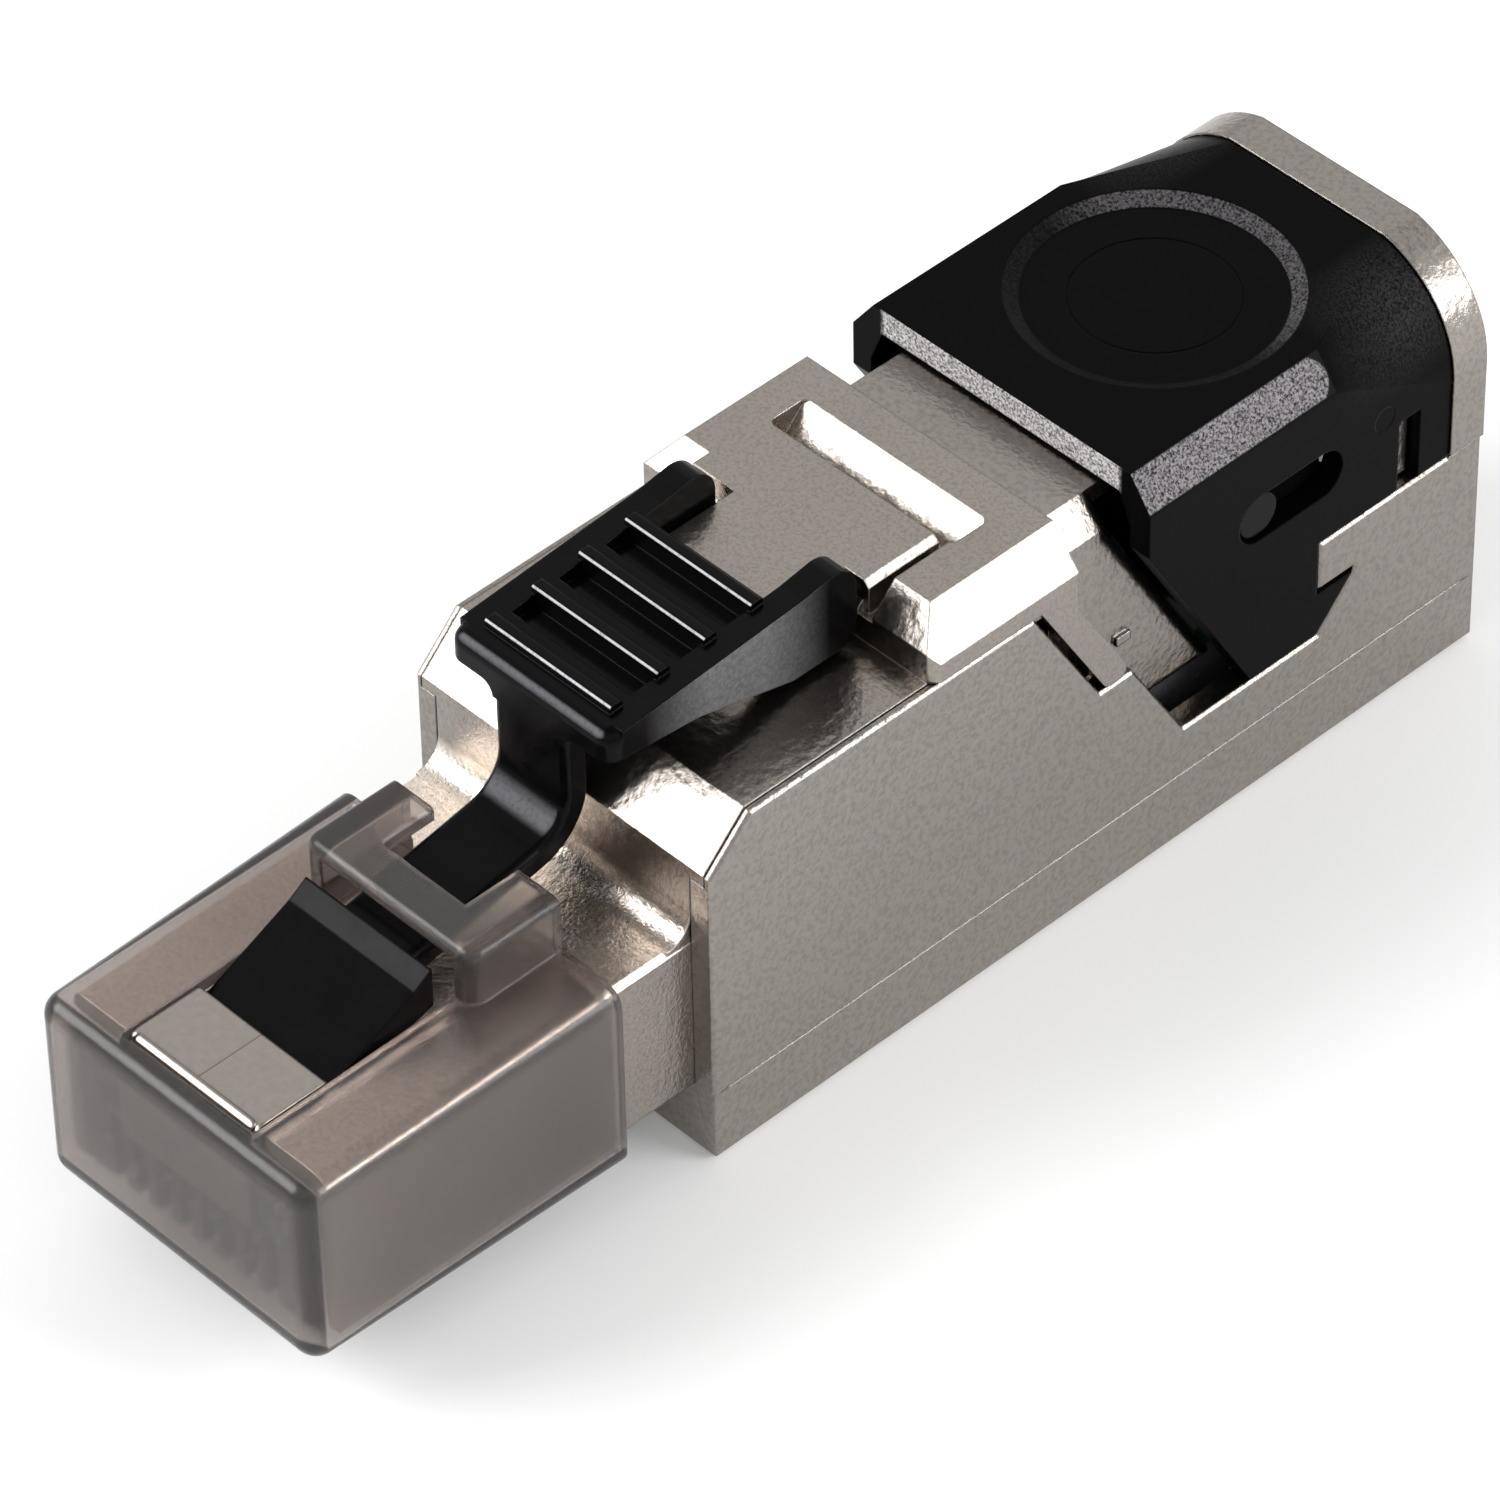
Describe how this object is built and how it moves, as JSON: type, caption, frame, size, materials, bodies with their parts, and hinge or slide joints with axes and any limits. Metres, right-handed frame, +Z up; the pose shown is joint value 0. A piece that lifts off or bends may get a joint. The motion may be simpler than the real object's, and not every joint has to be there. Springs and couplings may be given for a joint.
{
  "type": "tool-free shielded ethernet plug",
  "caption": "Shielded metal network plug for fitting to cable by hand, with sprung latch, sliding rear lid and soft dust cap.",
  "frame": {"origin": "under the middle of the whole plug with its dust cap on, at the height of the flat underside", "axes": "+Z up towards the latch, -Y towards the nose, +Y towards the cable, X across the plug"},
  "size_m": [0.0138, 0.0518, 0.0178],
  "materials": {
    "cast_nickel": "satin nickel plate on a zinc casting",
    "sheet_nickel": "nickel plated sheet",
    "black_plastic": "smooth with sparked bevels",
    "latch_black": "gloss",
    "smoke_soft": "smoky translucent soft plastic",
    "insert_plastic": "moulded",
    "gold_contact": "gold plated",
    "board_laminate": "green solder mask"
  },
  "bodies": {
    "housing": {"base_shell": "cast_nickel", "front_cover": "cast_nickel", "inner_shield": "cast_nickel", "latch_retainer": "sheet_nickel", "nose_insert": "insert_plastic", "plug_contacts": "gold_contact", "contact_comb": "insert_plastic", "circuit_board": "board_laminate", "board_tray": "insert_plastic", "idc_block": "insert_plastic", "pair_shield": "sheet_nickel", "idc_contacts": "gold_contact", "wire_manager": "black_plastic", "cable_saddle": "black_plastic", "braid_spring": "sheet_nickel", "ground_springs": "sheet_nickel"},
    "lid": {"lid_cover": "black_plastic", "rear_arch": "cast_nickel"},
    "latch": {"latch": "latch_black"},
    "dust_cap": {"dust_cap": "smoke_soft"}
  },
  "joints": [
    {"name": "lid_slide", "type": "slide", "parent": "housing", "child": "lid", "axis": [0, -1, 0], "range_m": [0, 0.0024]},
    {"name": "latch_press", "type": "hinge", "parent": "housing", "child": "latch", "pos_m": [0, -0.02177, 0.0091], "axis": [-1, 0, 0], "range_deg": [0, 0.8], "stiffness_Nm_per_rad": 0.1},
    {"name": "dust_cap_pull", "type": "slide", "parent": "housing", "child": "dust_cap", "axis": [0, -1, 0], "range_m": [0, 0.02]}
  ]
}
